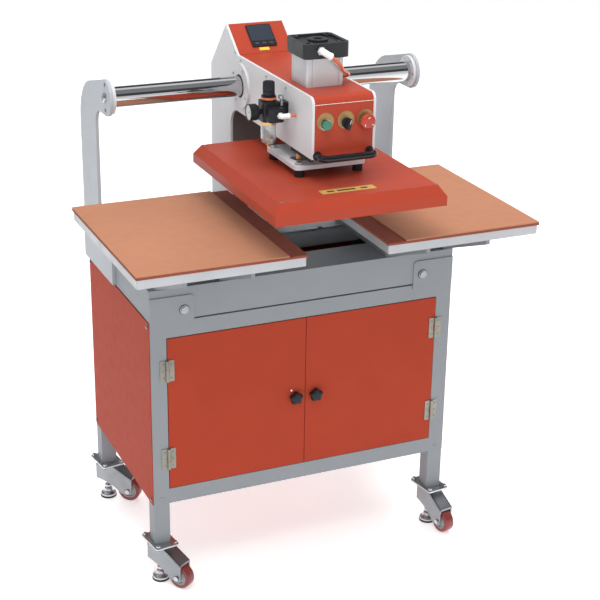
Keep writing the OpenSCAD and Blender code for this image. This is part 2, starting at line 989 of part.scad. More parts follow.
module filter_bowl() {
    color(plate_white)
        translate([reg_x, reg_y, reg_z - bowl_h])
            difference() {
                union() {
                    cylinder(d = bowl_d, h = bowl_h, $fn = round_fn);
                    translate([0, 0, -8]) cylinder(d = 12, h = 8, $fn = small_fn);
                }
                translate([0, 0, 3]) cylinder(d = bowl_d - 5, h = bowl_h, $fn = round_fn);
            }
}

// Stem of control i, from in front of the cover to behind it
module control_stem(i, length) {
    rod_y(head_x + control_xs[i], arm_front - length, control_z, control_d, length + 22);
}

module green_button() {
    color("#2f8f63") {
        rod_y(head_x + control_xs[0], arm_front - 14, control_z, 22, 10, round_fn);
        control_stem(0, 6);
    }
}

module selector_knob() {
    color(black) {
        rod_y(head_x + control_xs[1], arm_front - 8, control_z, 24, 6, round_fn);
        translate([head_x + control_xs[1], arm_front - 15, control_z])
            rotate([0, 15, 0]) cube([7, 16, 24], center = true);
        control_stem(1, 6);
    }
}

module stop_button() {
    color(press_red) {
        rod_y(head_x + control_xs[2], arm_front - 22, control_z, 38, 12, round_fn);
        control_stem(2, 12);
    }
}

cart_frame();
front_beam();
rear_deck();
side_beams();
corner_plates();
frame_screws();
left_side_panel();
right_side_panel();
back_panel();
bottom_shelf();
bed_rail();
left_upright();
right_upright();
tube_flanges();
guide_tube();
platen_brackets();
left_platen();
right_platen();
silicone_pads();
hinge_leaves();
left_door();
right_door();
left_door_knob();
right_door_knob();
castor_plates();
castor_fork_front_left();
castor_fork_front_right();
castor_fork_rear_left();
castor_fork_rear_right();
castor_wheel_front_left();
castor_wheel_front_right();
castor_wheel_rear_left();
castor_wheel_rear_right();
levelling_foot_front_left();
levelling_foot_front_right();
levelling_foot_rear_left();
levelling_foot_rear_right();
left_side_plate();
right_side_plate();
carriage_bearings();
arm_base();
head_cover();
control_box();
column_cover();
touchscreen();
cylinder_body();
cylinder_cap();
head_handle();
regulator_body();
regulator_knob();
pressure_gauge();
filter_bowl();
green_button();
selector_knob();
stop_button();
press_rods();
hanger_plate();
platen_spacers();
heat_plate();
heat_cover();
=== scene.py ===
"""Looks of the double-station heat press: studio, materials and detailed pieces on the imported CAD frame.

Places and matrices are in metres. Profiles, outlines, heights and rounded edges are in millimetres.
Positions come from the CAD nodes' boxes and from the record's joints.
"""

import json
from itertools import product
from math import atan2, cos, pi, radians, sin

import bmesh
import bpy
from mathutils import Matrix, Vector


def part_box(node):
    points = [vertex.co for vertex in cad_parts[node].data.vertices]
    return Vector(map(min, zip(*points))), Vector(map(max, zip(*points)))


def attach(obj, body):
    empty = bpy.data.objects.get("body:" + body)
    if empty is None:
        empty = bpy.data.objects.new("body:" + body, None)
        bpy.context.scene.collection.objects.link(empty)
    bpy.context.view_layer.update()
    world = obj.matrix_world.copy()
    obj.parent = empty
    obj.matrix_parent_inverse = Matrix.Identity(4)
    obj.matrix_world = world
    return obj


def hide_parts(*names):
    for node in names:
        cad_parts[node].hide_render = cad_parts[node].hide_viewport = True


MM = 0.001
UP = Vector((0, 0, 1))
FORWARD = Vector((0, -1, 0))
TO_LEFT = Vector((-1, 0, 0))
TO_RIGHT = Vector((1, 0, 0))
SIDES = (("left", -1), ("right", 1))
CORNERS = tuple(product((-1, 1), repeat=2))

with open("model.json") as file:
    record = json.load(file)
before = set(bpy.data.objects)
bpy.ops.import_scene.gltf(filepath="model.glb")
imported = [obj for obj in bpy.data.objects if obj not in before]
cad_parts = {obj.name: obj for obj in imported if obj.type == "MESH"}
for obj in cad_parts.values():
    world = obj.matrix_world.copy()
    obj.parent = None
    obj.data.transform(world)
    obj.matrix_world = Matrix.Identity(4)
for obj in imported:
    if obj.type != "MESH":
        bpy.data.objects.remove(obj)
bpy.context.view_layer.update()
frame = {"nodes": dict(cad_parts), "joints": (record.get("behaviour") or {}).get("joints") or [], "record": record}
nodes = frame["nodes"]
joints = {joint["name"]: joint for joint in frame["joints"]}


# ---- Studio ----

def add_object(name, data):
    added = bpy.data.objects.new(name, data)
    bpy.context.scene.collection.objects.link(added)
    return added


def add_camera():
    """Long lens from above the front left, at the height of a tall person's eyes."""
    camera = add_object("camera", bpy.data.cameras.new("camera"))
    yaw, pitch, roll = 24.07, 22.42, 0.96
    place = (-1.3674, -3.1578, 2.0598)
    camera.matrix_world = (
        Matrix.Translation(place) @ turned(-yaw) @ turned(90 - pitch, "X") @ turned(roll)
    )
    camera.data.lens = 88.65
    camera.data.sensor_width = 36
    camera.data.shift_x = -0.0022
    camera.data.shift_y = 0.0124
    camera.data.clip_end = 60
    bpy.context.scene.camera = camera


def add_area_light(name, place, target, size, watts, colour=(1, 1, 1)):
    """Soft lamp that polished surfaces don't show, as the world's strips are what they show."""
    light = bpy.data.lights.new(name, "AREA")
    light.shape = "RECTANGLE"
    light.size, light.size_y = size
    light.energy = watts
    light.color = colour
    lamp = add_object(name, light)
    aim = (Vector(target) - Vector(place)).to_track_quat("-Z", "Y")
    lamp.matrix_world = Matrix.Translation(place) @ aim.to_matrix().to_4x4()
    lamp.visible_glossy = False


def set_inputs(tree, node, inputs):
    """Holds a node's inputs, by name or number, at a value or links them from another node."""
    for key, value in inputs.items():
        if isinstance(value, bpy.types.NodeSocket):
            tree.links.new(value, node.inputs[key])
        else:
            node.inputs[key].default_value = value
    return node


def add_node(tree, kind, inputs, **settings):
    node = tree.nodes.new(f"ShaderNode{kind}")
    for setting, value in settings.items():
        setattr(node, setting, value)
    return set_inputs(tree, node, inputs)


def add_math(tree, operation, first, second):
    return add_node(tree, "Math", {0: first, 1: second}, operation=operation).outputs["Value"]


def add_strips(tree, strips, strength):
    """Background of bright and dim strips along X, from the front horizon over to the back one."""
    where = add_node(tree, "TexCoord", {}).outputs["Generated"]
    split = add_node(tree, "SeparateXYZ", {"Vector": where})
    forward = add_math(tree, "MULTIPLY", split.outputs["Y"], -1)
    climb = add_math(tree, "ARCTAN2", split.outputs["Z"], forward)
    ramp = add_node(tree, "ValToRGB", {"Fac": add_math(tree, "DIVIDE", climb, pi)})
    stops = ramp.color_ramp.elements
    stops.remove(stops[1])
    for k, (angle, level) in enumerate(strips):
        stop = stops[0] if k == 0 else stops.new(angle / 180)
        stop.color = (level, level, level * 1.02, 1)
    return add_node(tree, "Background", {"Color": ramp.outputs["Color"], "Strength": strength})


def add_world():
    """Even light from all round, a white backdrop, and long strips that only reflections show."""
    world = bpy.data.worlds.new("studio")
    bpy.context.scene.world = world
    world.use_nodes = True
    tree = world.node_tree
    even = {"Color": (0.8, 0.8, 0.808, 1), "Strength": 0.75}
    seen = set_inputs(tree, tree.nodes["Background"], even)
    # Degrees above the front horizon, and how bright the sky is there.
    strips = ((0, 0.9), (13, 0.9), (18, 0.07), (40, 0.07), (46, 0.32), (86, 0.28), (98, 1.0),
              (114, 1.0), (122, 0.07), (150, 0.07), (160, 0.5), (180, 0.5))
    backdrop = add_node(tree, "Background", {"Color": (1, 1, 1, 1), "Strength": 1})
    path = add_node(tree, "LightPath", {})
    for kind, other in (("Is Glossy Ray", add_strips(tree, strips, 0.9)), ("Is Camera Ray", backdrop)):
        both = {0: path.outputs[kind], 1: seen.outputs[0], 2: other.outputs[0]}
        seen = add_node(tree, "MixShader", both)
    set_inputs(tree, tree.nodes["World Output"], {"Surface": seen.outputs[0]})


def add_studio():
    """World, four soft lamps and a large paper floor that glows a little, so that it stays white."""
    bpy.context.scene.view_settings.view_transform = "Standard"
    add_world()
    middle = (0, 0, 0.7)
    add_area_light("key", (1.5, 1.3, 3.6), middle, (1.8, 1.8), 40, (1.0, 0.99, 0.97))
    add_area_light("top", (-0.7, -0.9, 3.8), middle, (2.4, 2.4), 80)
    add_area_light("front", (-0.8, -4.4, 2.2), middle, (3.2, 2.6), 40)
    add_area_light("back", (1.6, 4.6, 2.6), middle, (3.6, 2.0), 60)

    mesh = bpy.data.meshes.new("floor")
    half = 30
    ends = ((-1, -1), (1, -1), (1, 1), (-1, 1))
    mesh.from_pydata([(half * x, half * y, 0) for x, y in ends], [], [(0, 1, 2, 3)])
    floor = add_object("floor", mesh)
    paper = surface("floor_paper", (0.95, 0.95, 0.95), 0.8, grain=60, bump=0.02, mottle=0.01)
    set_finish(paper, {"Emission Color": (1, 1, 1, 1), "Emission Strength": 0.42})
    floor.data.materials.append(paper)


# ---- Materials ----

GRAIN_DEPTH = 0.0003


def set_finish(material, inputs):
    tree = material.node_tree
    set_inputs(tree, tree.nodes["Principled BSDF"], inputs)


def surface(name, colour, roughness, metallic=0.0, grain=900.0, stretch=(1, 1, 1), bump=0.1,
            mottle=0.05, rough_spread=0.08, coat=0.0, specular=0.5, second_colour=None, speckle=0.0):
    """Procedural material: mottled colour, uneven gloss and a fine grain in relief.

    grain is in bumps per metre, and stretch draws it out along an axis, as brushing does.
    mottle is how much the colour wanders over a few centimetres. speckle mixes in
    second_colour as fine dots.
    """
    material = bpy.data.materials.new(name)
    material.use_nodes = True
    tree = material.node_tree

    def noise(scale, detail, vector):
        inputs = {"Scale": scale, "Detail": detail, "Vector": vector}
        return add_node(tree, "TexNoise", inputs).outputs["Fac"]

    def spread(value, low, high):
        inputs = {"From Min": 0.3, "From Max": 0.7, "To Min": low, "To Max": high, "Value": value}
        return add_node(tree, "MapRange", inputs).outputs["Result"]

    def mix(factor, first, second):
        return add_node(tree, "Mix", {0: factor, 6: first, 7: second}, data_type="RGBA").outputs[2]

    where = add_node(tree, "TexCoord", {}).outputs["Object"]
    scaled = add_node(tree, "Mapping", {"Scale": stretch, "Vector": where}).outputs["Vector"]
    patches = noise(9, 4, where)
    fine = noise(grain, 3, scaled)
    smudges = noise(35, 5, scaled)
    darker = (*(c * (1 - mottle) for c in colour), 1)
    lighter = (*(min(1, c * (1 + mottle)) for c in colour), 1)
    shade = mix(spread(patches, 0, 1), darker, lighter)
    if second_colour:
        shade = mix(spread(fine, 0, speckle), shade, (*second_colour, 1))
    relief = add_node(tree, "Bump", {"Strength": bump, "Distance": GRAIN_DEPTH, "Height": fine})
    glossiest, dullest = max(0.02, roughness - rough_spread), min(1, roughness + rough_spread)
    set_finish(material, {
        "Base Color": shade,
        "Roughness": spread(smudges, glossiest, dullest),
        "Normal": relief.outputs["Normal"],
        "Metallic": metallic,
        "Specular IOR Level": specular,
        "Coat Weight": coat,
        "Coat Roughness": 0.12,
    })
    return material


def make_materials():
    red = (0.37, 0.050, 0.025)
    paint = {"grain": 1500, "bump": 0.2, "mottle": 0.025, "rough_spread": 0.04}
    dim_paint = {**paint, "specular": 0.15}
    gloss_paint = {**paint, "specular": 0.16, "bump": 0.05, "rough_spread": 0.02}
    plating = {"metallic": 1, "grain": 420, "bump": 0.12}
    polished = {"metallic": 1, "grain": 500}
    label = {"grain": 800, "bump": 0.05, "mottle": 0.04}
    made = {
        "frame_paint": surface("frame_powder_coat", (0.255, 0.272, 0.29), 0.45, **dim_paint),
        "plate_paint": surface("plate_powder_coat", (0.60, 0.605, 0.62), 0.42, specular=0.2, **paint),
        "upright_paint": surface("upright_powder_coat", (0.41, 0.43, 0.46), 0.42, **dim_paint),
        # Painted shade: the column cover in the throat under the head gets a near-black grey-brown so that it
        # looks shaded there.
        "shade_paint": surface("painted_shade_coat", (0.12, 0.10, 0.098), 0.5, **dim_paint),
        "red_paint": surface("red_powder_coat", red, 0.55, specular=0.06, **paint),
        "red_gloss": surface("red_gloss_coat", red, 0.36, **gloss_paint),
        "zinc": surface("zinc_plate", (0.60, 0.62, 0.64), 0.34, mottle=0.10, rough_spread=0.12, **plating),
        "dull_zinc": surface("dull_zinc", (0.34, 0.36, 0.38), 0.42, mottle=0.12, rough_spread=0.1,
                             **plating),
        "hinge_steel": surface("hinge_steel", (0.27, 0.265, 0.225), 0.42, metallic=0.6, grain=420,
                               bump=0.12, mottle=0.15, rough_spread=0.1),
        "chrome": surface("hard_chrome", (0.62, 0.63, 0.65), 0.08, metallic=1, grain=700,
                          stretch=(0.2, 1, 1), bump=0.02, mottle=0.02, rough_spread=0.03),
        "aluminium": surface("cast_aluminium", (0.56, 0.57, 0.585), 0.36, metallic=0.4, grain=600,
                             stretch=(1, 1, 0.3), bump=0.25, mottle=0.05, rough_spread=0.1),
        "platen_cast": surface("machined_platen", (0.44, 0.45, 0.465), 0.4, metallic=0.4, grain=500,
                               stretch=(0.3, 1, 1), bump=0.2, mottle=0.06, rough_spread=0.08),
        "silicone_top": surface("silicone_sheet", (0.44, 0.20, 0.115), 0.75, grain=700, bump=0.35,
                                mottle=0.03, speckle=0.5, second_colour=(0.36, 0.145, 0.08), specular=0.3),
        # Sponge colour darkened partly as painted shade: its bare strip on the pads' inner sides stands in for the
        # heat cover's shadow there.
        "silicone_base": surface("sponge_with_painted_shade", (0.24, 0.055, 0.03), 0.8, bump=0.5, mottle=0.08),
        "polyurethane": surface("polyurethane_tread", (0.22, 0.035, 0.03), 0.32, grain=500, bump=0.2,
                                mottle=0.12, coat=0.2),
        "hub": surface("hub_nylon", (0.42, 0.43, 0.44), 0.5, grain=800, bump=0.2),
        "black_plastic": surface("black_plastic", (0.014, 0.015, 0.018), 0.38, grain=1500, bump=0.2,
                                 mottle=0.15, specular=0.25),
        "black_gloss": surface("black_lacquer", (0.008, 0.009, 0.012), 0.09, bump=0.02, mottle=0.1,
                               rough_spread=0.02, specular=0.45),
        "black_satin": surface("black_anodised", (0.022, 0.025, 0.027), 0.36, grain=1200, bump=0.12,
                               mottle=0.08, specular=0.25),
        "rubber": surface("black_rubber", (0.02, 0.02, 0.021), 0.7, grain=700, bump=0.4),
        "white_plastic": surface("white_plastic", (0.78, 0.78, 0.76), 0.35, bump=0.08, mottle=0.03),
        "orange_hose": surface("orange_tubing", (0.66, 0.14, 0.05), 0.28, grain=300, bump=0.08,
                               mottle=0.06, coat=0.2),
        "brass": surface("brass", (0.72, 0.46, 0.18), 0.25, bump=0.08, mottle=0.06, **polished),
        "copper": surface("copper_stud", (0.62, 0.28, 0.13), 0.3, bump=0.1, mottle=0.08, **polished),
        "gold_label": surface("gold_label", (0.36, 0.225, 0.09), 0.40, metallic=0.5, **label),
        "gold_foil": surface("gold_foil", (0.66, 0.43, 0.11), 0.4, metallic=0.3, **label),
        "dark_print": surface("dark_print", (0.03, 0.028, 0.025), 0.5, bump=0.05),
        "yellow_label": surface("yellow_label", (0.85, 0.55, 0.04), 0.5, bump=0.05),
        "green_plastic": surface("green_plastic", (0.03, 0.17, 0.105), 0.3, grain=700, bump=0.05, coat=0.3),
        "red_plastic": surface("red_plastic", (0.40, 0.040, 0.02), 0.3, grain=700, bump=0.06, coat=0.15),
        "screen": surface("screen_glass", (0.012, 0.02, 0.035), 0.08, grain=500, bump=0.01, mottle=0.1,
                          rough_spread=0.02, coat=0.6),
        "screen_key": surface("screen_key", (0.045, 0.06, 0.08), 0.35, bump=0.05),
        "dial": surface("dial_card", (0.82, 0.82, 0.80), 0.5, bump=0.03),
        "clear": surface("clear_polycarbonate", (0.92, 0.95, 0.95), 0.08, bump=0.02,
                         mottle=0.01, rough_spread=0.03),
    }
    set_finish(made["clear"], {"Transmission Weight": 0.9, "IOR": 1.45})
    return made


def dress_cad_nodes():
    """Every CAD node that stays gets its slot's material and small rounded edges."""
    slots = {s["node"]: s["material_slot"] for s in frame["record"]["subparts"]}
    by_node = {
        "cylinder_cap": "black_satin",
        "head_cover": "red_gloss",
        "heat_cover": "red_gloss",
        "control_box": "red_gloss",
        "frame_screws": "dull_zinc",
        "hinge_leaves": "hinge_steel",
        "left_platen": "platen_cast",
        "right_platen": "platen_cast",
        "left_upright": "upright_paint",
        "right_upright": "upright_paint",
    }
    by_slot = {
        "silicone": "silicone_top",
        "black_metal": "black_gloss",
        "clear_plastic": "clear",
        "green_plastic": "green_plastic",
        "red_plastic": "red_plastic",
    }
    small_edge = {"frame_screws", "hinge_leaves", "touchscreen"}
    for name, node in nodes.items():
        slot = slots[name]
        material = materials[by_node.get(name, by_slot.get(slot, slot))]
        node.data.materials.clear()
        node.data.materials.append(material)
        soften(node, 0.3 if name in small_edge else 0.9)


# ---- Building blocks ----

def soften(piece, width):
    """Edges rounded by width, which catch the light, with smooth shading over them."""
    piece.data.shade_smooth()
    bevel = piece.modifiers.new("edges", "BEVEL")
    bevel.width = width * MM
    bevel.segments = 2
    bevel.limit_method = "ANGLE"
    bevel.angle_limit = radians(35)
    bevel.harden_normals = True


def new_piece(name, data, body, look, bevel=0):
    """Object that rides on a body, from a mesh or a curve."""
    piece = add_object(name, data)
    data.materials.append(materials[look])
    if bevel:
        soften(piece, bevel)
    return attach(piece, body)


def mesh_piece(name, bm, body, look, bevel=0):
    bmesh.ops.recalc_face_normals(bm, faces=bm.faces)
    mesh = bpy.data.meshes.new(name)
    bm.to_mesh(mesh)
    bm.free()
    return new_piece(name, mesh, body, look, bevel)


def step(x, y, z):
    """Vector in metres from millimetres."""
    return Vector((x, y, z)) * MM


def shift(x, y, z):
    """Matrix of a move in millimetres."""
    return Matrix.Translation(step(x, y, z))


def turned(degrees, axis="Z"):
    return Matrix.Rotation(radians(degrees), 4, axis)


def facing(place, direction):
    """Matrix that puts a local +Z along direction, at place."""
    turn = Vector(direction).to_track_quat("Z", "Y").to_matrix().to_4x4()
    return Matrix.Translation(place) @ turn


def join_rings(bm, rings, closed=False):
    """Faces between neighbouring rings of vertices, where a ring of one vertex is a tip.

    closed joins the last ring to the first. Otherwise the end rings are capped.
    """
    following = rings[1:] + (rings[:1] if closed else [])
    for below, above in zip(rings, following):
        count = max(len(below), len(above))
        for i in range(count if count > 1 else 0):
            j = (i + 1) % count
            corners = (below[i % len(below)], below[j % len(below)],
                       above[j % len(above)], above[i % len(above)])
            bm.faces.new(tuple(dict.fromkeys(corners)))
    for end in () if closed else (rings[0], rings[-1]):
        if len(end) > 1:
            bm.faces.new(end)


def add_circle(bm, radius, height, matrix, segments, offset=0):
    """Ring of vertices about local Z, or a single one where the radius is 0."""
    ring = []
    for i in range(segments if radius else 1):
        angle = 2 * pi * i / segments
        point = step(radius * cos(angle), offset + radius * sin(angle), height)
        ring.append(bm.verts.new(matrix @ point))
    return ring


def add_lathe(bm, profile, matrix, segments=48):
    """Closed solid of revolution about local Z; profile is (radius, height) from end to end."""
    join_rings(bm, [add_circle(bm, r, h, matrix, segments) for r, h in profile])


def add_ring(bm, profile, matrix, segments=48, offsets=None):
    """Solid of revolution whose profile is a closed loop that stays off the axis.

    offsets moves each circle of the profile along local Y, which makes an eccentric ring.
    """
    circles = zip(profile, offsets or [0] * len(profile))
    rings = [add_circle(bm, r, h, matrix, segments, offset) for (r, h), offset in circles]
    join_rings(bm, rings, closed=True)


def add_stack(bm, layers, matrix):
    """Solid through a stack of outlines of equal length; each layer is (height, outline)."""
    rings = []
    for height, outline in layers:
        rings.append([bm.verts.new(matrix @ step(x, y, height)) for x, y in outline])
    join_rings(bm, rings)


def add_prism(bm, outline, height, matrix):
    """Solid with the given outline in local XY, from local Z 0 to height."""
    add_stack(bm, ((0, outline), (height, outline)), matrix)


def rounded_outline(width, depth, radius, steps=6):
    points = []
    for sx, sy, start in ((1, 1, 0), (-1, 1, 90), (-1, -1, 180), (1, -1, 270)):
        for k in range(steps + 1):
            angle = radians(start + 90 * k / steps)
            points.append((
                sx * (width / 2 - radius) + radius * cos(angle),
                sy * (depth / 2 - radius) + radius * sin(angle),
            ))
    return points


def wavy_outline(sides, radius_at):
    """Outline round the origin whose radius at each angle comes from radius_at(side, angle)."""
    angles = [2 * pi * k / sides for k in range(sides)]
    radii = [radius_at(k, a) for k, a in enumerate(angles)]
    return [(r * cos(a), r * sin(a)) for r, a in zip(radii, angles)]


def hexagon(radius):
    return wavy_outline(6, lambda side, angle: radius)


def lathe_piece(name, profile, matrix, body, look, bevel=0.4, segments=48):
    bm = bmesh.new()
    add_lathe(bm, profile, matrix, segments)
    return mesh_piece(name, bm, body, look, bevel)


def ring_piece(name, profile, matrix, body, look, bevel=0.3, segments=48, offsets=None):
    bm = bmesh.new()
    add_ring(bm, profile, matrix, segments, offsets)
    return mesh_piece(name, bm, body, look, bevel)


def prism_piece(name, outline, height, matrix, body, look, bevel=0):
    bm = bmesh.new()
    add_prism(bm, outline, height, matrix)
    return mesh_piece(name, bm, body, look, bevel)


def rounded_box(name, size, place, body, look, radius=2, edge=0.6):
    """Box with rounded vertical corners, its bottom face's middle at place."""
    width, depth, height = size
    outline = rounded_outline(width, depth, radius)
    return prism_piece(name, outline, height, Matrix.Translation(place), body, look, edge)


def smooth_path(points, steps):
    """Points of a Catmull-Rom curve through the given points."""
    path = [Vector(p) for p in points]
    padded = [2 * path[0] - path[1], *path, 2 * path[-1] - path[-2]]
    result = []
    for a, b, c, d in zip(padded, padded[1:], padded[2:], padded[3:]):
        for k in range(steps):
            t = k / steps
            result.append(0.5 * (2 * b + (c - a) * t + (2 * a - 5 * b + 4 * c - d) * t * t
                                 + (3 * b - a - 3 * c + d) * t ** 3))
    result.append(path[-1])
    return result


def tube_piece(name, points, radius, body, look):
    """Round tube along a polyline, as a curve object; points and radius in metres."""
    curve = bpy.data.curves.new(name, "CURVE")
    curve.dimensions = "3D"
    curve.bevel_depth = radius
    curve.bevel_resolution = 6
    curve.use_fill_caps = True
    spline = curve.splines.new("POLY")
    spline.points.add(len(points) - 1)
    for target, point in zip(spline.points, points):
        target.co = (*point, 1)
    spline.use_smooth = True
    return new_piece(name, curve, body, look)


def screws(name, places, direction, radius, height, body, look="zinc"):
    """Button-head screws: low domes with a round socket."""
    shape = ((0, 0), (1, 0), (1, 0.25), (0.93, 0.6), (0.75, 0.88), (0.5, 1), (0.42, 1),
             (0.40, 0.35), (0, 0.35))
    profile = [(r * radius, h * height) for r, h in shape]
    bm = bmesh.new()
    for place in places:
        add_lathe(bm, profile, facing(place, direction), segments=20)
    return mesh_piece(name, bm, body, look, bevel=0.15)


def top_middle(node):
    low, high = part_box(node)
    return Vector(((low.x + high.x) / 2, (low.y + high.y) / 2, high.z))


def outer_x(node, sign):
    """X of a node's face on the side that sign points to."""
    low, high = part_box(node)
    return high.x if sign > 0 else low.x


# ---- Cabinet ----

def add_hinge_details():
    """Rounded leaves, knuckles and countersunk screws over the hinges of both doors."""
    leaf_w, leaf_h, leaf_t = 14.5, 55, 0.5
    heights = (0.346, 0.580)
    knuckle_h = leaf_h / 5
    door_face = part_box("left_door")[1].y - 18 * MM
    post_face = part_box("front_beam")[0].y
    knuckle = [(1.6, 0.2), (3.8, 0.2)]
    knuckle += [(r, knuckle_h - h) for r, h in knuckle[::-1]]
    for side, sign in SIDES:
        axis_x, axis_y, _ = joints[f"{side}_door_hinge"]["pos_m"]
        leaves = (
            ("moving", f"{side}_door", axis_x - sign * 10.7 * MM, door_face, 1),
            ("fixed", "cabinet", axis_x + sign * 10.2 * MM, post_face, 0),
        )
        for name, body, leaf_x, face_y, first in leaves:
            bm = bmesh.new()
            heads = []
            for z in heights:
                leaf = facing((leaf_x, face_y - 1.4 * MM, z), FORWARD)
                add_prism(bm, rounded_outline(leaf_w, leaf_h, 2), leaf_t, leaf)
                for k in range(first, 5, 2):
                    foot = z + (k * knuckle_h - leaf_h / 2) * MM
                    add_ring(bm, knuckle, Matrix.Translation((axis_x, axis_y, foot)), 24)
                heads += [(leaf_x, face_y - 1.8 * MM, z + dz * MM) for dz in (-18, 0, 18)]
            mesh_piece(f"{side}_hinge_leaf_{name}", bm, body, "hinge_steel", bevel=0.15)
            screws(f"{side}_hinge_screws_{name}", heads, FORWARD, 2.2, 0.9, body, "hinge_steel")


def add_star_knobs():
    """Five-lobed knobs with a domed face, a rim, a stem with its latch and a washer behind."""
    lobe_depth = 0.11
    layers = ((0, 0.80), (1.5, 0.95), (4, 1.0), (9.5, 1.0), (12, 0.94), (13.6, 0.80), (14.5, 0.5))
    outlines = []
    for height, scale in layers:
        outlines.append((height, wavy_outline(
            70, lambda side, angle: 17.5 * scale * (1 - lobe_depth + lobe_depth * cos(5 * angle)))))
    for side, _ in SIDES:
        node, body = f"{side}_door_knob", f"{side}_knob"
        x, _, z = joints[f"{side}_knob_turn"]["pos_m"]
        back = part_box(node)[0].y + 14.5 * MM
        turn = facing((x, back, z), FORWARD) @ turned(90)
        bm = bmesh.new()
        add_stack(bm, outlines, turn)
        add_lathe(bm, [(0, -18), (4, -18), (4, 0.5), (0, 0.5)], turn, 24)
        add_prism(bm, rounded_outline(30, 14, 4), 3, turn @ shift(8, 0, -22))
        knob = mesh_piece(f"{side}_star_knob", bm, body, "black_plastic", bevel=0.3)
        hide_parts(node)
        lathe_piece(f"{side}_knob_washer", [(4.2, 0), (9, 0), (9, 1), (4.2, 1)],
                    facing((x, back + 1.4 * MM, z), FORWARD), body, "zinc", bevel=0.2, segments=24)


def add_frame_details():
    """Painted shade of a notch in the bed's rail, as a thin black sheet, the door's bumper, and plugs and bolt
    seats on the frame.
    """
    rail = top_middle("bed_rail")
    # Painted shade: a thin black sheet on the rail's top stands in for the dark gap of the notch.
    rounded_box("rail_notch_painted_shade", (12, 10.4, 0.5), (148 * MM, rail.y, rail.z), "cabinet", "rubber",
                radius=0.5, edge=0.1)
    bumper_at = (-40 * MM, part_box("left_door")[0].y + 1.5 * MM, 475 * MM)
    lathe_piece("door_bumper", [(0, 0), (2.4, 0), (2.2, 1.2), (0, 1.5)], facing(bumper_at, FORWARD),
                "left_door", "white_plastic", bevel=0, segments=20)
    low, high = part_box("cart_frame")
    plate_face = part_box("corner_plates")[0].y
    plug = [(0, 0), (6, 0), (5.6, 1), (4, 1.5), (0, 1.6)]
    seat = [(11, 0), (12.4, 0), (12.4, 0.4), (11, 0.4)]
    plugs, seats = bmesh.new(), bmesh.new()
    for sign in (-1, 1):
        add_lathe(plugs, plug, facing((sign * (high.x - 20 * MM), low.y, 236 * MM), FORWARD), 28)
        seat_at = (sign * (high.x - 85 * MM), plate_face, high.z - 56 * MM)
        add_ring(seats, seat, facing(seat_at, FORWARD), 40)
    mesh_piece("corner_bolt_seats", seats, "cabinet", "rubber")
    mesh_piece("post_plugs", plugs, "cabinet", "frame_paint", bevel=0.2)


# ---- Platens ----

def add_pad(name, look, low, high, crowned):
    """Sheet between two corners; a crowned one has a slightly wavy top."""
    rows = 24
    bm = bmesh.new()
    grids = []
    for z, wavy in ((low.z, False), (high.z, crowned)):
        grid = {}
        for i, j in product(range(rows + 1), repeat=2):
            u, v = i / rows - 0.5, j / rows - 0.5
            wave = 0.25 * sin(7 * u + 3 * v) * cos(5 * v - 2 * u) - 0.3
            grid[i, j] = bm.verts.new((
                (low.x + high.x) / 2 + u * (high.x - low.x),
                (low.y + high.y) / 2 + v * (high.y - low.y),
                z + (wave * MM if wavy else 0),
            ))
        for i, j in product(range(rows), repeat=2):
            bm.faces.new((grid[i, j], grid[i + 1, j], grid[i + 1, j + 1], grid[i, j + 1]))
        grids.append(grid)
    rim = [(i, 0) for i in range(rows)] + [(rows, j) for j in range(rows)]
    rim += [(rows - i, rows - j) for i, j in rim]
    for a, b in zip(rim, rim[1:] + rim[:1]):
        bm.faces.new((grids[0][a], grids[0][b], grids[1][b], grids[1][a]))
    pad = mesh_piece(name, bm, "cabinet", look, bevel=0.8)
    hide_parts("silicone_pads")


def add_pads():
    """Sponge sheet and a narrower silicone top sheet on each platen; the sponge left bare along each platen's
    inner side is dark partly as painted shade, for the heat cover's shadow there.
    """
    low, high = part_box("silicone_pads")
    sponge_width, silicone_width, sponge_t = 0.4, 0.355, 0.006
    seam = low.z + sponge_t
    for side, sign in SIDES:
        for layer, bottom, top, width in (("base", low.z, seam, sponge_width),
                                          ("top", seam, high.z, silicone_width)):
            xs = sorted((sign * high.x, sign * (high.x - width)))
            add_pad(f"{side}_pad_{layer}", f"silicone_{layer}", Vector((xs[0], low.y, bottom)),
                    Vector((xs[1], high.y, top)), layer == "top")


# ---- Castors ----

def castor_matrix(corner):
    """Local X along the axle, Y towards the swivel, Z up, origin at the wheel's centre."""
    roll = joints[f"{corner}_roll"]
    axle = Vector(roll["axis"])
    turn = Matrix((axle, UP.cross(axle), UP)).transposed().to_4x4()
    return Matrix.Translation(roll["pos_m"]) @ turn


def add_wheel(corner, along_axle):
    body = f"wheel_{corner}"
    radius, half = 31.5, 13.5
    crown = [(radius - 3.2, -half), (radius - 1.2, -half + 1), (radius - 0.2, -half + 3.5), (radius, 0)]
    tread = crown + [(r, -h) for r, h in crown[-2::-1]]
    tyre = ring_piece(f"tread_{corner}", [(22, -half), *tread, (22, half)], along_axle, body,
                      "polyurethane", segments=64)
    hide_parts(f"castor_wheel_{corner}")
    web = [(4.05, -13), (8, -13), (9, -12), (9, -7), (18, -6), (20, -12), (22, -12.5)]
    ring_piece(f"hub_{corner}", web + [(r, -h) for r, h in web[::-1]], along_axle, body, "hub")


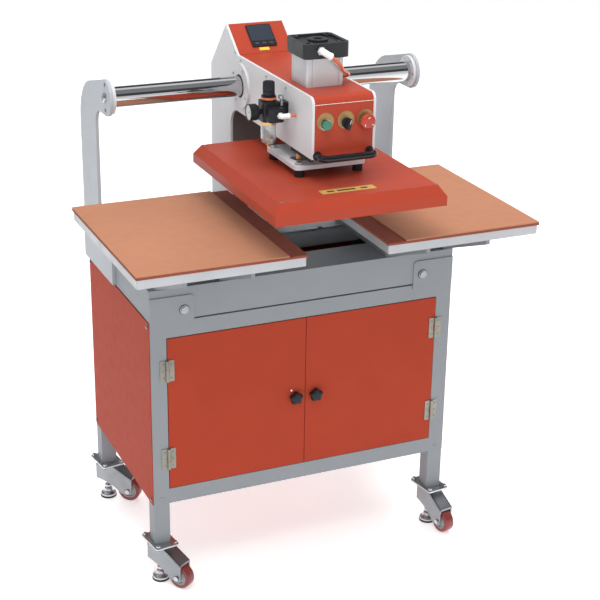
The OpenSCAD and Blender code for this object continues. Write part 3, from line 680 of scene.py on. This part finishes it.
def add_fork(corner, at, along_axle, trail, roof):
    """Folded fork: a roof that slopes down over the wheel, two cheeks with a curved back edge,
    the swivel's race, and the axle's bolt and nut. trail and roof are in millimetres."""
    body = f"fork_{corner}"
    width, cheek_t, roof_t = 39.6, 4.2, 5
    front, bend, back = -12, trail - 20, trail + 26
    front_top = 39.5
    profile = [(back, roof), (bend, roof), (front, front_top), (front, front_top - roof_t - 1),
               (bend - 1, roof - roof_t), (back, roof - roof_t)]
    cheek = [(bend, roof), (back, roof)]
    arc_y, arc_z, arc_r = trail + 58, -116.5, 150
    for k in range(13):
        a = radians(102.3 + 32.4 * k / 12)
        cheek.append((arc_y + arc_r * cos(a), arc_z + arc_r * sin(a)))
    cheek += [(front + 6, -10), (front, -4), (front, front_top)]

    bm = bmesh.new()
    for outline, x, thickness in (
        (profile, -width / 2, width),
        (cheek, -width / 2, cheek_t),
        (cheek, width / 2 - cheek_t, cheek_t),
    ):
        add_prism(bm, [(-z, y) for y, z in outline], thickness, at @ shift(x, 0, 0) @ turned(90, "Y"))
    fork = mesh_piece(f"fork_shell_{corner}", bm, body, "dull_zinc", bevel=0.9)
    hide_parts(f"castor_fork_{corner}")

    swivel = at @ shift(0, trail, roof)
    race = [(5.05, -5), (19, -5), (19, -2.5), (17, 0.2), (16.5, 3.2), (9, 3.4), (6, 3.6), (5.05, 3.6)]
    neck = [(5.05, 3), (6, 3), (6, 7.4), (5.05, 7.4)]
    bm = bmesh.new()
    add_ring(bm, race, swivel, 40)
    add_ring(bm, neck, swivel, 32)
    mesh_piece(f"swivel_race_{corner}", bm, body, "zinc", bevel=0.3)

    bm = bmesh.new()
    add_lathe(bm, [(0, -23), (4, -23), (4, 23), (0, 23)], along_axle, 24)
    for start in (-23.5, 19.9):
        add_prism(bm, hexagon(7.2), 3.6, along_axle @ shift(0, 0, start))
    mesh_piece(f"axle_bolt_{corner}", bm, body, "zinc", bevel=0.3)


def add_foot(corner, at, stem_top):
    """Zinc bell on a rubber pad, with a threaded stem and a lock nut; stem_top in millimetres."""
    body = f"foot_{corner}"
    bell = [(0, 5), (20.4, 5), (21, 6), (21, 10.2), (20.2, 11.6), (17.4, 12.8), (14.4, 15),
            (12.6, 18), (11.6, 21.5), (10.6, 24.6), (9, 25.8), (0, 25.8)]
    foot = lathe_piece(f"foot_bell_{corner}", bell, at, body, "zinc", bevel=0)
    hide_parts(f"levelling_foot_{corner}")
    pad = [(0, 0), (20.8, 0), (22, 1.2), (22, 4.4), (21.2, 5.2), (0, 5.2)]
    lathe_piece(f"foot_pad_{corner}", pad, at, body, "rubber", bevel=0.3)
    start, pitch = 25.4, 1.5
    thread = [(0, start)]
    for k in range(int((stem_top - start - 2) / pitch)):
        thread += [(4.4, start + pitch * k), (4.98, start + pitch * (k + 0.5))]
    thread += [(4.4, stem_top - 1), (0, stem_top)]
    lathe_piece(f"foot_stem_{corner}", thread, at, body, "zinc", bevel=0, segments=24)
    prism_piece(f"foot_nut_{corner}", hexagon(10), 6, at @ shift(0, 0, 30), body, "zinc", bevel=0.6)


def add_castors():
    plate_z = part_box("castor_plates")[0].z
    for corner in ("front_left", "front_right", "rear_left", "rear_right"):
        at = castor_matrix(corner)
        along_axle = at @ turned(90, "Y")
        swivel = Vector(joints[f"{corner}_swivel"]["pos_m"])
        trail = (swivel.xy - at.translation.xy).length / MM
        roof = (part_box(f"castor_fork_{corner}")[1].z - at.translation.z) / MM - 7.6
        add_wheel(corner, along_axle)
        add_fork(corner, at, along_axle, trail, roof)
        stem_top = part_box(f"levelling_foot_{corner}")[1].z / MM
        add_foot(corner, Matrix.Translation((swivel.x, swivel.y, 0)), stem_top)
        nuts = bmesh.new()
        plate = Matrix.Translation((swivel.x, swivel.y, plate_z - 3.5 * MM)) @ turned(8)
        for sx, sy in CORNERS:
            add_prism(nuts, hexagon(5.5), 3.5, plate @ shift(sx * 23, sy * 36, 0))
        mesh_piece(f"castor_nuts_{corner}", nuts, "cabinet", "black_plastic", bevel=0.4)


# ---- Uprights and guide tube ----

def tube_axis(x):
    """Place on the guide tube's axis at x."""
    low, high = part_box("guide_tube")
    return Vector((x, (low.y + high.y) / 2, (low.z + high.z) / 2))


def around_tube(x, radius, degrees):
    """Places on a circle about the guide tube's axis at x."""
    angles = [radians(d) for d in degrees]
    return [tube_axis(x) + Vector((0, sin(a), cos(a))) * radius * MM for a in angles]


def add_upright_details():
    """Screws round the tube's flanges, and the big clamp screws at its ends."""
    clamp = [(0, 0), (11, 0), (11, 4), (9.5, 6.5), (5, 7.4), (4.6, 4), (0, 4)]
    for side, sign in SIDES:
        flange_face = outer_x(f"{side}_upright", -sign) - sign * 8 * MM
        heads = around_tube(flange_face, 33, range(30, 360, 60))
        screws(f"{side}_flange_screws", heads, (-sign, 0, 0), 3.4, 0.8, "cabinet")
        end = tube_axis(outer_x(f"{side}_upright", sign) + sign * 0.2 * MM)
        lathe_piece(f"{side}_tube_clamp_screw", clamp, facing(end, (sign, 0, 0)), "cabinet", "zinc")


# ---- Head ----

def add_bearing_details():
    """Flange screws and a thin rubber wiper around the tube on both sides of the head."""
    wiper = [(25.1, -0.5), (28.5, -0.5), (28.5, 0.3), (27, 0.7), (25.1, 0.6)]
    for side, sign in SIDES:
        x = outer_x("carriage_bearings", sign)
        out = (sign, 0, 0)
        screws(f"{side}_bearing_screws", around_tube(x, 46, range(60, 360, 90)), out, 3.4, 2, "head")
        ring_piece(f"{side}_tube_wiper", wiper, facing(tube_axis(x), out), "head", "rubber", bevel=0.2)


def add_touchscreen():
    """Bezel, glass, three keys and a yellow label, all on the slope of the instrument panel."""
    low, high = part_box("touchscreen")
    slope = Matrix.Rotation(atan2(60, 78), 4, "X")
    half_t = 1.5 * MM
    at = Matrix.Translation((low + high) / 2 - (slope @ UP) * half_t) @ slope
    bezel = prism_piece("screen_bezel", rounded_outline(66, 70, 4), 3, at, "head", "black_plastic",
                        bevel=0.8)
    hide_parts("touchscreen")
    prism_piece("screen_glass", rounded_outline(60, 49, 1.5), 0.5, at @ shift(0, 7.5, 2.8), "head",
                "screen", bevel=0.15)
    keys = bmesh.new()
    for x in (-19, 0, 19):
        add_prism(keys, rounded_outline(11, 5, 2.2), 1, at @ shift(x, -25.5, 2.8))
    mesh_piece("screen_buttons", keys, "head", "screen_key", bevel=0.4)
    prism_piece("panel_label", rounded_outline(26, 9, 1), 0.3, at @ shift(-4, -41, 0.02), "head",
                "yellow_label", bevel=0.05)


def add_cover_screws():
    """Small screws on the flanges where the red covers meet the side plates."""
    front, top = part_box("left_side_plate")[0].y, 1.250
    spots = ((150, -12), (265, -12), (428, -9), (464, 3), (470, -90))
    for side, sign in SIDES:
        x = outer_x(f"{side}_side_plate", sign)
        places = [(x, front + dy * MM, top + dz * MM) for dy, dz in spots]
        screws(f"{side}_cover_screws", places, (sign, 0, 0), 3.2, 2, "head")


def add_cylinder():
    """Square profile with round corner columns, a fine groove beside each, and its end block."""
    low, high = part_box("cylinder_body")
    middle = (low + high) / 2
    half = (high.x - low.x) / 2 / MM
    corner_r, column, inset, groove, block_h, gap = 8, 12, 0.6, 1.6, 26, 1
    side = []
    for sign in (-1, 1):
        steps = ((0, 0), (0.5, groove), (1.8, groove), (2.3, inset))
        edge = [(sign * (half - column - along), half - depth) for along, depth in steps]
        side += edge if sign < 0 else edge[::-1]
    centre = half - corner_r
    arc = [(-centre - corner_r * cos(a), centre + corner_r * sin(a))
           for a in (radians(15 * k) for k in range(7))]
    outline = []
    for quarter in range(4):
        turn = Matrix.Rotation(-quarter * pi / 2, 2)
        outline += [tuple(turn @ Vector(p)) for p in arc + side]
    foot = Matrix.Translation((middle.x, middle.y, low.z + (block_h + gap) * MM))
    barrel = prism_piece("cylinder_barrel", outline[::-1], (high.z - low.z) / MM - block_h - gap, foot,
                         "head", "aluminium", bevel=0.3)
    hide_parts("cylinder_body")
    rounded_box("cylinder_end_block", (2 * half, 2 * half, block_h), (middle.x, middle.y, low.z),
                "head", "aluminium", radius=corner_r, edge=1)


def add_cap_details():
    """Socket screws in the cap's counterbores, and a port plug in its boss."""
    top = top_middle("cylinder_cap")
    heads = [top + step(sx * 42, sy * 42, -8) for sx, sy in CORNERS]
    screws("cap_screws", heads, UP, 5, 5, "head", "black_gloss")
    plug = [(0, 0), (9.6, 0), (9.6, 9), (8.8, 10), (4.4, 10), (4.2, 4), (0, 4)]
    lathe_piece("cap_plug", plug, Matrix.Translation(top) @ shift(0, 0, -14), "head", "black_plastic",
                bevel=0.3)


def add_elbow(name, foot, out, along, size=1.0):
    """Push-in elbow: threaded foot, round body, and a collared mouth turned along the tube.

    Returns the middle of the mouth.
    """
    unit = size * MM
    knee = foot + out * 13 * unit
    prism_piece(f"{name}_nut", hexagon(8.5 * size), 5 * size, facing(foot, out), "head", "zinc",
                bevel=0.5)
    bend = [foot + out * 4 * unit, foot + out * 9 * unit]
    for k in range(7):
        a = radians(15 * k)
        bend.append(knee + (along * (1 - cos(a)) - out * (1 - sin(a))) * 4 * unit)
    mouth = knee + along * 16 * unit
    tube_piece(f"{name}_body", [*bend, mouth], 6.2 * unit, "head", "white_plastic")
    collar = ((0, 0), (6.6, 0), (7, 1), (7, 3.4), (6.2, 4.4), (3.2, 4.4), (3.2, 3.4), (0, 3.4))
    lathe_piece(f"{name}_collar", [(r * size, h * size) for r, h in collar],
                facing(mouth - along * 1.6 * unit, along), "head", "white_plastic", bevel=0.2,
                segments=32)
    return mouth + along * 1.8 * unit


def add_hose(name, points, diameter):
    """Air tubing from one fitting back into the machine."""
    path = smooth_path(points, 6)
    hose = tube_piece(name, path, diameter / 2, "head", "orange_hose")


def add_air_lines():
    """Elbow in the front of the cap, and tubing that loops round to the cylinder's lower port."""
    cap_low, cap_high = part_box("cylinder_cap")
    port = Vector((outer_x("cylinder_body", 1), (cap_low.y + cap_high.y) / 2 - 6 * MM,
                   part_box("head_cover")[1].z + 11 * MM))
    lathe_piece("cylinder_port", [(0, 0), (7, 0), (7, 4), (5.4, 5), (5.4, 9), (0, 9)],
                facing(port, TO_RIGHT), "head", "zinc", bevel=0.3, segments=32)
    foot = Vector((cap_low.x + 38 * MM, cap_low.y, cap_high.z - 15 * MM))
    dip = radians(33)
    along = Vector((cos(dip), 0, -sin(dip)))
    mouth = add_elbow("cap_elbow", foot, FORWARD, along, size=1.25)
    points = [mouth - along * 2 * MM, mouth + along * 10 * MM]
    points += [mouth + step(26, 4, -22), mouth + step(37, 14, -36)]
    points += [port + step(18, -26, 10), port + step(19, -11, 2), port + step(12, 0, 0),
               port + step(5, 0, 0)]
    add_hose("cylinder_hose", points, 8 * MM)


def add_regulator():
    """Filter regulator: ribbed knob, orange collar, ported body, gauge, bowl and its fittings."""
    base = top_middle("filter_bowl")
    at = Matrix.Translation(base)
    floor = Matrix.Translation((base.x, base.y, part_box("filter_bowl")[0].z))

    bowl = [(0, 4), (3, 3), (12, 3.5), (16, 7), (17.4, 14), (17.8, 50), (16.2, 50), (15.6, 15),
            (13, 9), (4, 6.5), (0, 6.5)]
    glass = lathe_piece("bowl_glass", bowl, floor @ shift(0, 0, 5), "head", "clear", bevel=0)
    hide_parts("filter_bowl")
    ring_piece("bowl_ring", [(16, -9), (18, -9), (18, -0.2), (16, -0.2)], at, "head", "brass",
               bevel=0.4)
    drain = [(0, 0), (3, 0), (3, 3), (5.5, 3.5), (6, 5), (6, 8.5), (4, 9.5), (0, 9.5)]
    lathe_piece("bowl_drain", drain, floor, "head", "brass", bevel=0.2, segments=32)

    layers = []
    for height, scale in ((0, 0.96), (1, 1), (9, 1), (10, 0.93), (11, 0.93), (12, 1), (29, 0.97),
                          (31, 0.93), (32, 0.82)):
        rib = 0.045 if 12 <= height <= 31 else 0
        layers.append((height, wavy_outline(
            72, lambda side, angle: 14 * scale * (1 if side % 3 else 1 - rib))))
    bm = bmesh.new()
    knob_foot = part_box("regulator_knob")[1].z - 32 * MM
    add_stack(bm, layers, Matrix.Translation((base.x, base.y, knob_foot)))
    knob = mesh_piece("pressure_knob_ribbed", bm, "pressure_knob", "black_plastic", bevel=0.2)
    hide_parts("regulator_knob")

    collar = [(6, 0), (17.6, 0), (18, 0.6), (18, 4), (17.4, 4.6), (6, 4.6)]
    ring_piece("regulator_collar", collar, at @ shift(0, 0, 50), "head", "orange_hose")
    port_z = 22
    port = [(0, 0), (9.5, 0), (9.5, 3), (8.5, 4), (5, 4), (5, 2), (0, 2)]
    lathe_piece("regulator_port", port, facing(base + step(0, 20, port_z), -FORWARD), "head",
                "zinc", segments=32)
    add_gauge(base + step(0, 0, port_z))
    rounded_box("regulator_filter_head", (38, 30, 32), base + step(3, -31, 4), "head",
                "black_plastic", radius=9, edge=2)
    valve = [(0, 0), (5, 0), (5, 9), (3.4, 10), (3.4, 16), (6.4, 17), (6.4, 23), (5.6, 24), (0, 24)]
    lathe_piece("regulator_bleed_valve", valve, at @ shift(27, -8, 34), "head", "zinc", segments=32)
    mouth = add_elbow("regulator_elbow", base + step(8, -46, port_z), FORWARD, TO_RIGHT)
    plate_x = outer_x("left_side_plate", -1)
    points = [mouth - TO_RIGHT * 2 * MM, mouth + TO_RIGHT * 5 * MM]
    points += [(plate_x + dx * MM, mouth.y, mouth.z) for dx in (-4, 22)]
    add_hose("regulator_hose", points, 6 * MM)


def add_gauge(centre):
    """Dial gauge that faces left: case, bezel, card with ticks, needle and lens."""
    low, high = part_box("pressure_gauge")
    at = facing((high.x, centre.y, centre.z), TO_LEFT)
    depth = (high.x - low.x) / MM
    card_back, card_face = depth - 3.4, depth - 2.9
    case = [(0, 0), (6, 0), (6, 5), (15, 7), (18.6, 11), (19, 13), (19, depth), (17, depth),
            (16.6, card_back), (0, card_back)]
    shell = lathe_piece("gauge_case", case, at, "head", "black_plastic", bevel=0.3)
    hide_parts("pressure_gauge")
    card = [(0, card_back), (16.4, card_back), (16.4, card_face), (0, card_face)]
    lathe_piece("gauge_card", card, at, "head", "dial", bevel=0)
    face = at @ shift(0, 0, card_face)
    marks = bmesh.new()
    for k in range(11):
        tick = rounded_outline(0.7, 2.2 if k % 5 else 3.4, 0.2, 2)
        add_prism(marks, tick, 0.2, face @ turned(27 * k - 135) @ shift(0, 13, 0))
    needle = [(-0.5, -4), (0.5, -4), (0.25, 11.5), (-0.25, 11.5)]
    add_prism(marks, needle, 0.3, face @ turned(70) @ shift(0, 0, 0.6))
    add_lathe(marks, [(0, 0), (1.6, 0), (1.6, 1.2), (0, 1.2)], face, 20)
    mesh_piece("gauge_marks", marks, "head", "dark_print")
    lens = [(0, depth - 1.2), (16.8, depth - 1.2), (16.8, depth - 0.6), (8, depth - 0.3),
            (0, depth - 0.2)]
    lathe_piece("gauge_lens", lens, at, "head", "clear", bevel=0)


def add_round_marks(name, centre, radius, angles, outline, height, slant, body, look):
    """Flat marks on a circle that faces forward, each turned outwards by its angle plus slant."""
    bm = bmesh.new()
    for a in angles:
        place = centre + Vector((sin(a), 0, cos(a))) * radius * MM
        add_prism(bm, outline, height, facing(place, FORWARD) @ Matrix.Rotation(a + slant, 4, "Z"))
    mesh_piece(name, bm, body, look)


def add_legend(name, centre):
    """Gold legend plate with plain marks on it, and the chrome bezel of one control."""
    at = facing(centre, FORWARD)
    radius, rise = 20.5, 6.5
    ring_piece(f"{name}_legend", [(8.6, 0.05), (radius, 0.05), (radius, 0.7), (8.6, 0.7)], at, "head",
               "gold_label", bevel=0.15, segments=56, offsets=(0, rise, rise, 0))
    angles = [radians(18 * k - 54) for k in range(7)]
    add_round_marks(f"{name}_legend_marks", centre + step(0, -0.7, rise), radius - 1.6,
                    angles, rounded_outline(2.2, 0.7, 0.2, 2), 0.15, 0, "head", "dark_print")
    bezel = [(8.3, 0.7), (13, 0.7), (13, 2.2), (12.4, 3.3), (11.4, 3.3), (11.2, 3.0), (11.2, 1.2),
             (8.3, 1.2)]
    ring_piece(f"{name}_bezel", bezel, at, "head", "chrome", bevel=0.2)


def add_controls():
    """Start button, selector and stop button on the front of the head, each on its legend."""
    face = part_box("head_cover")[0].y
    z = joints["selector_turn"]["pos_m"][2]
    places = []
    for name, node in (("start", "green_button"), ("selector", "selector_knob"), ("stop", "stop_button")):
        places.append(Vector((top_middle(node).x, face, z)))
        add_legend(name, places[-1])
    start_at, selector_at, stop_at = places

    button = [(0, -22), (8, -22), (8, 5), (10.8, 5), (10.8, 11.5), (10, 12.8), (6, 13.6), (0, 13.9)]
    green = lathe_piece("start_button_cap", button, facing(start_at, FORWARD), "start_button",
                        "green_plastic")
    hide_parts("green_button")

    at = facing(selector_at, FORWARD)
    skirt = [(0, -22), (8, -22), (8, 3.2), (11.8, 3.4), (12, 5), (11.4, 8), (0, 8.5)]
    grip = [(-3.4, -12), (3.4, -12), (4.2, 0), (3.0, 12.6), (0, 13.6), (-3.0, 12.6), (-4.2, 0)]
    tilted = at @ turned(-15) @ shift(0, 0, 8)
    bm = bmesh.new()
    add_lathe(bm, skirt, at)
    add_prism(bm, grip, 15, tilted)
    selector = mesh_piece("selector_grip", bm, "selector", "black_plastic", bevel=0.9)
    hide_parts("selector_knob")
    prism_piece("selector_mark", rounded_outline(1.2, 9, 0.3, 2), 0.3, tilted @ shift(0, 6, 14.9),
                "selector", "white_plastic")

    mushroom = [(0, -22), (8, -22), (8, 9), (12, 9.6), (17.6, 10.4), (19, 12), (19, 14.5),
                (17, 18), (12, 20.8), (6, 21.8), (0, 22)]
    stop = lathe_piece("stop_mushroom", mushroom, facing(stop_at, FORWARD), "emergency_stop",
                       "red_plastic")
    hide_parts("stop_button")
    angles = [radians(120 * k) for k in range(3)]
    add_round_marks("stop_arrows", stop_at + FORWARD * 20.6 * MM, 11, angles,
                    rounded_outline(6, 1.4, 0.5, 3), 1.1, 0.5, "emergency_stop", "white_plastic")


def add_handle():
    """Lacquered bar bent at both ends, with round feet on the cover."""
    low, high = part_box("head_handle")
    z = (low.z + high.z) / 2
    radius = (high.z - low.z) / 2
    left, right = low.x + radius, high.x - radius
    front, back = low.y + radius, high.y
    bend = 14 * MM
    points = [Vector((left, back, z)), Vector((left, front + bend, z))]
    for k in range(1, 10):
        a = radians(10 * k)
        points.append(Vector((left + bend * (1 - cos(a)), front + bend * (1 - sin(a)), z)))
    mirrored = [Vector((left + right - p.x, p.y, p.z)) for p in points[::-1]]
    bar = tube_piece("handle_bar", points + mirrored, radius, "head", "black_gloss")
    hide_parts("head_handle")
    foot = [(0, 0), (10.5, 0), (10.5, 2), (9.4, 3.6), (8.1, 4.4), (0, 4.4)]
    for name, x in (("left", left), ("right", right)):
        lathe_piece(f"handle_foot_{name}", foot, facing((x, back, z), FORWARD), "head", "black_gloss",
                    bevel=0.3)


def add_painted_lip_highlight():
    """Painted highlight: a thin white strip on the lip where the top cover's nose laps over the front plate, for
    the light line that the fold catches.
    """
    low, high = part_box("head_cover")
    place = ((low.x + high.x) / 2, low.y - 0.2 * MM, high.z - 17 * MM)
    # Painted highlight: white strip for the light line along the cover's fold.
    rounded_box("painted_lip_highlight", ((high.x - low.x) / MM, 1.6, 0.9), place, "head", "white_plastic",
                radius=0.4, edge=0.2)


def add_side_strip():
    """Ribbed black strip under the left side plate's front edge."""
    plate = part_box("left_side_plate")[0]
    count, pitch, first = 22, 5, 8
    at = Matrix.Translation((plate.x, plate.y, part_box("arm_base")[0].z))
    bm = bmesh.new()
    for k in range(count):
        add_prism(bm, rounded_outline(9, 3.6, 1.4, 3), 7, at @ shift(3, first + pitch * k, -7))
    middle = first + pitch * (count - 1) / 2
    add_prism(bm, rounded_outline(6, pitch * count, 1.4, 3), 5.4, at @ shift(3, middle, -5.4))
    mesh_piece("ribbed_strip", bm, "head", "rubber", bevel=0.3)


# ---- Heated platen ----

def add_press_details():
    """Screws and label on the heated cover, and what shows on the hanger plate above it."""
    low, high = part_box("heat_cover")
    top = top_middle("heat_cover")
    bevel = 16.5 * MM
    reach = (high - low) / 2 - Vector((1, 1, 0)) * (bevel + 8 * MM)
    heads = [top + Vector((sx * reach.x, sy * reach.y, 0)) for sx, sy in CORNERS]
    screws("heat_cover_screws", heads, UP, 3.2, 1.6, "press")

    label_at = Matrix.Translation((top.x - 12 * MM, low.y + bevel + 41 * MM, high.z))
    prism_piece("cover_label", rounded_outline(132, 26, 2), 0.4, label_at, "press", "gold_foil",
                bevel=0.1)
    bars = bmesh.new()
    for offset, width in ((-42, 18), (-4, 44), (40, 16)):
        add_prism(bars, rounded_outline(width, 8, 1.5, 3), 0.2, label_at @ shift(offset, 0, 0.38))
    mesh_piece("cover_label_bars", bars, "press", "dark_print")

    plate_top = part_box("hanger_plate")[1].z
    stud = [(0, 0), (9, 0), (9, 7), (7, 7.5), (6, 15), (6, 22), (4.5, 24), (0, 24)]
    disc = [(0, 0), (21.8, 0), (21.8, 1.2), (0, 1.2)]
    plate = Matrix.Translation((top.x, top.y, plate_top))
    studs, discs = bmesh.new(), bmesh.new()
    for sign in (-1, 1):
        add_lathe(discs, disc, plate @ shift(sign * 52, -26, -6), 40)
        add_lathe(studs, stud, plate @ shift(sign * 58, -34, -6), 28)
    mesh_piece("window_discs", discs, "press", "dull_zinc")
    mesh_piece("thermostat_studs", studs, "press", "copper", bevel=0.3)

    spacer_low, spacer_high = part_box("platen_spacers")
    reach = (spacer_high - spacer_low) / 2 / MM - Vector((12, 12, 0))
    bolts = bmesh.new()
    for sx, sy in CORNERS:
        place = plate @ shift(sx * reach.x, sy * reach.y, 0)
        add_prism(bolts, hexagon(8.5), 6, place)
        add_lathe(bolts, [(11, 0), (11, 1.5), (0, 1.6)], place, 28)
    mesh_piece("spacer_bolts", bolts, "press", "zinc", bevel=0.5)


add_camera()
materials = make_materials()
add_studio()
dress_cad_nodes()
add_frame_details()
add_hinge_details()
add_star_knobs()
add_pads()
add_castors()
add_upright_details()
add_bearing_details()
add_touchscreen()
add_cover_screws()
add_cylinder()
add_cap_details()
add_air_lines()
add_regulator()
add_controls()
add_handle()
add_painted_lip_highlight()
add_side_strip()
add_press_details()
